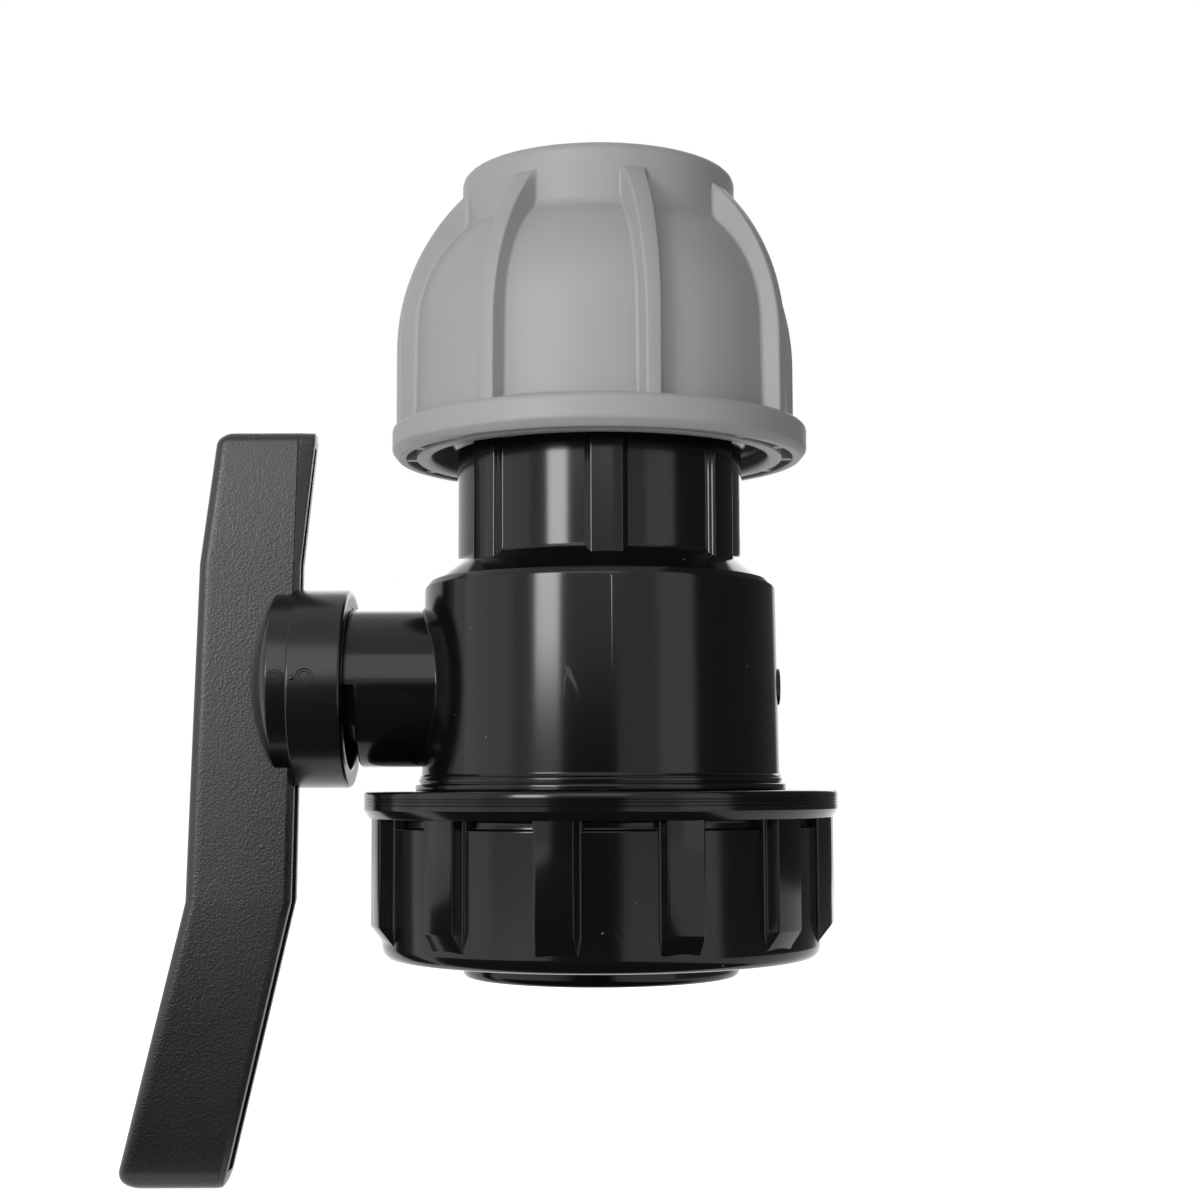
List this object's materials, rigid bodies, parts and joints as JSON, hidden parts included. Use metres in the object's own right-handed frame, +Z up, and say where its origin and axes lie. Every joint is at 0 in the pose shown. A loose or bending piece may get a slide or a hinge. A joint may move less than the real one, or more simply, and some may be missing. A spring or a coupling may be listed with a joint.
{
  "type": "shut-off ball valve",
  "caption": "Plastic quarter-turn ball valve with a compression end for plain pipe, a union with a female thread and a lever handle.",
  "frame": {"origin": "centre of the outlet mouth, on the end face of the union connector", "axes": "+Z up the pipe axis from the threaded outlet to the compression end; the stem and handle lie towards -X"},
  "size_m": [0.1076, 0.0728, 0.1549],
  "materials": {
    "black_body": "glossy moulded black polypropylene",
    "black_handle": "black polypropylene with a fine leather grain on the lever",
    "grey_nut": "satin mid-grey polypropylene",
    "white_acetal": "satin white acetal",
    "seat_white": "waxy white seat plastic",
    "ball_white": "polished pale plastic",
    "rubber": "smooth black nitrile rubber"
  },
  "bodies": {
    "valve": {"valve_body": "black_body", "seat_carrier": "black_body", "carrier_o_ring": "rubber", "upper_ball_seat": "seat_white", "upper_seat_o_ring": "rubber", "lower_ball_seat": "seat_white", "lower_seat_o_ring": "rubber", "stem_thrust_washer": "seat_white"},
    "lever_and_ball": {"handle": "black_handle", "stem": "black_body", "stem_o_ring_inner": "rubber", "stem_o_ring_outer": "rubber", "ball": "ball_white"},
    "grip": {"clinch_ring": "white_acetal", "thrust_bush": "black_body", "pipe_o_ring": "rubber"},
    "nut": {"compression_nut": "grey_nut"},
    "outlet": {"union_connector": "black_body", "union_face_o_ring": "rubber"},
    "union": {"union_nut": "black_body"}
  },
  "joints": [
    {"name": "handle_turn", "type": "hinge", "parent": "valve", "child": "lever_and_ball", "pos_m": [0, 0, 0.0441], "axis": [1, 0, 0], "range_deg": [0, 90]},
    {"name": "grip_travel", "type": "slide", "parent": "valve", "child": "grip", "axis": [0, 0, 1], "range_m": [-0.01001, 0.01001]},
    {"name": "compression_nut_turn", "type": "hinge", "parent": "grip", "child": "nut", "pos_m": [0, 0, 0.1], "axis": [0, 0, 1], "range_deg": [-900, 900]},
    {"name": "outlet_travel", "type": "slide", "parent": "valve", "child": "outlet", "axis": [0, 0, -1], "range_m": [0, 0.01576]},
    {"name": "union_nut_turn", "type": "hinge", "parent": "outlet", "child": "union", "pos_m": [0, 0, 0.015], "axis": [0, 0, -1], "range_deg": [0, 1620]}
  ],
  "couplings": [
    {"joint": "grip_travel", "follows": "compression_nut_turn", "m_per_rad": 0.00063662},
    {"joint": "outlet_travel", "follows": "union_nut_turn", "m_per_rad": 0.00055704}
  ]
}
